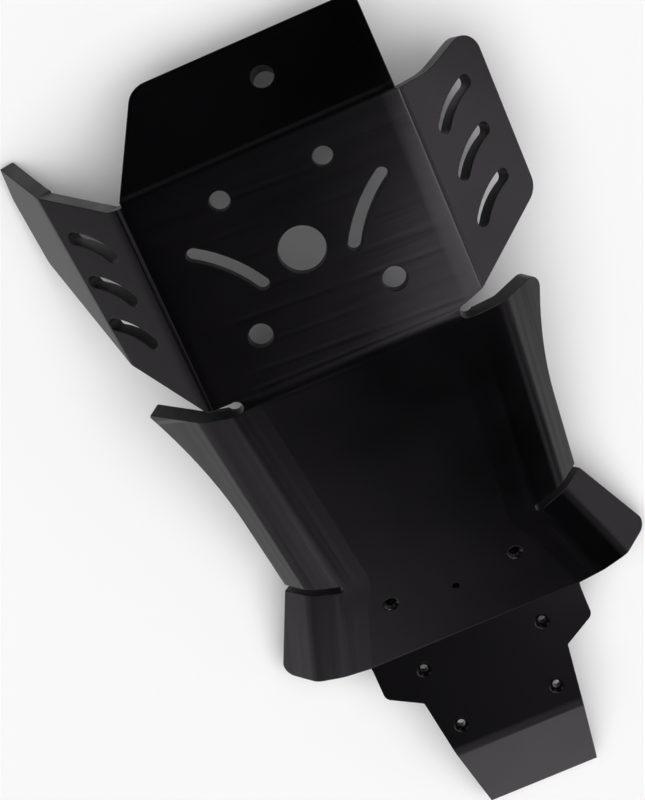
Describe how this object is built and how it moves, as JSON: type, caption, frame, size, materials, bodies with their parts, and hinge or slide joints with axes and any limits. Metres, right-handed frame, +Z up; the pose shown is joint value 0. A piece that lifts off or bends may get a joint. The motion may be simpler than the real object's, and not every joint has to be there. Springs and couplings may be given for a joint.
{
  "type": "motorcycle skid plate",
  "caption": "Folded black plastic skid plate for a motorcycle: flat belly with curled lips, sloped front panel with slotted wings, drilled top flap and a stepped tail.",
  "frame": {"origin": "on the floor, under the middle of the plate's bounding box", "axes": "+Z up, with the plate lying hollow side down; its front edge and top flap point to -Y and its tail to +Y"},
  "size_m": [0.2956, 0.5648, 0.0825],
  "materials": {
    "board": "satin"
  },
  "bodies": {
    "root": {"skid_plate": "board"}
  },
  "joints": []
}
